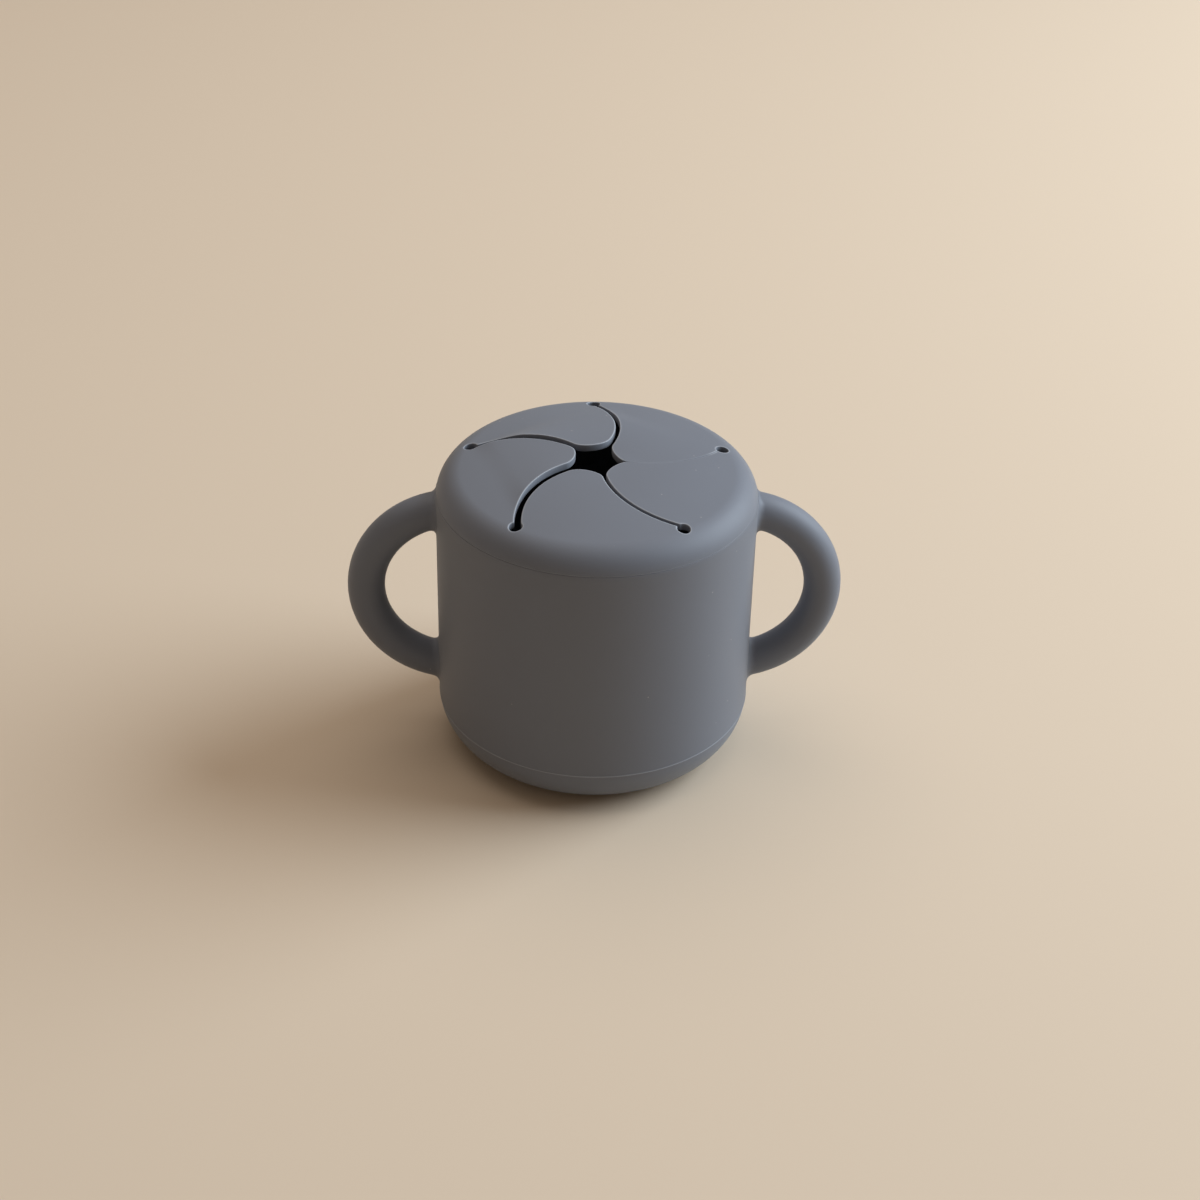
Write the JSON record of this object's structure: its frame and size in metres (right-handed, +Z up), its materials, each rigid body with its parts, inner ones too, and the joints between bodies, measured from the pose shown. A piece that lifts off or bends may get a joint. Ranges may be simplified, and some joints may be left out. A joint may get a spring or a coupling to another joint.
{
  "type": "toddler snack cup",
  "caption": "Round silicone snack cup with ring handles and a domed lift-off lid whose soft flaps let a small hand reach in.",
  "frame": {"origin": "middle of the cup's flat underside", "axes": "+Z up through the lid's middle opening; handles along X; front, between two slit holes, at -Y"},
  "size_m": [0.1332, 0.085, 0.0851],
  "materials": {
    "cup_silicone": "matte moulded silicone, slate grey-blue, fine even grain",
    "lid_silicone": "matte moulded silicone, slate grey-blue, fine even grain"
  },
  "bodies": {
    "cup": {"cup_body": "cup_silicone", "handle_left": "cup_silicone", "handle_right": "cup_silicone"},
    "lid": {"lid_ring": "lid_silicone"},
    "flap_front": {"flap_front": "lid_silicone"},
    "flap_right": {"flap_right": "lid_silicone"},
    "flap_back_right": {"flap_back_right": "lid_silicone"},
    "flap_back_left": {"flap_back_left": "lid_silicone"},
    "flap_left": {"flap_left": "lid_silicone"}
  },
  "joints": [
    {"name": "lid_lift", "type": "slide", "parent": "cup", "child": "lid", "axis": [0, 0, 1], "range_m": [0, 0.03]},
    {"name": "flap_front_bend", "type": "hinge", "parent": "lid", "child": "flap_front", "pos_m": [0, -0.02848, 0.08156], "axis": [1, 0, 0], "range_deg": [-55, 30], "stiffness_Nm_per_rad": 0.02},
    {"name": "flap_right_bend", "type": "hinge", "parent": "lid", "child": "flap_right", "pos_m": [0.02708, -0.0088, 0.08156], "axis": [0.309, 0.9511, 0], "range_deg": [-55, 30], "stiffness_Nm_per_rad": 0.02},
    {"name": "flap_back_right_bend", "type": "hinge", "parent": "lid", "child": "flap_back_right", "pos_m": [0.01674, 0.02304, 0.08156], "axis": [-0.809, 0.5878, 0], "range_deg": [-55, 30], "stiffness_Nm_per_rad": 0.02},
    {"name": "flap_back_left_bend", "type": "hinge", "parent": "lid", "child": "flap_back_left", "pos_m": [-0.01674, 0.02304, 0.08156], "axis": [-0.809, -0.5878, 0], "range_deg": [-55, 30], "stiffness_Nm_per_rad": 0.02},
    {"name": "flap_left_bend", "type": "hinge", "parent": "lid", "child": "flap_left", "pos_m": [-0.02708, -0.0088, 0.08156], "axis": [0.309, -0.9511, 0], "range_deg": [-55, 30], "stiffness_Nm_per_rad": 0.02}
  ]
}
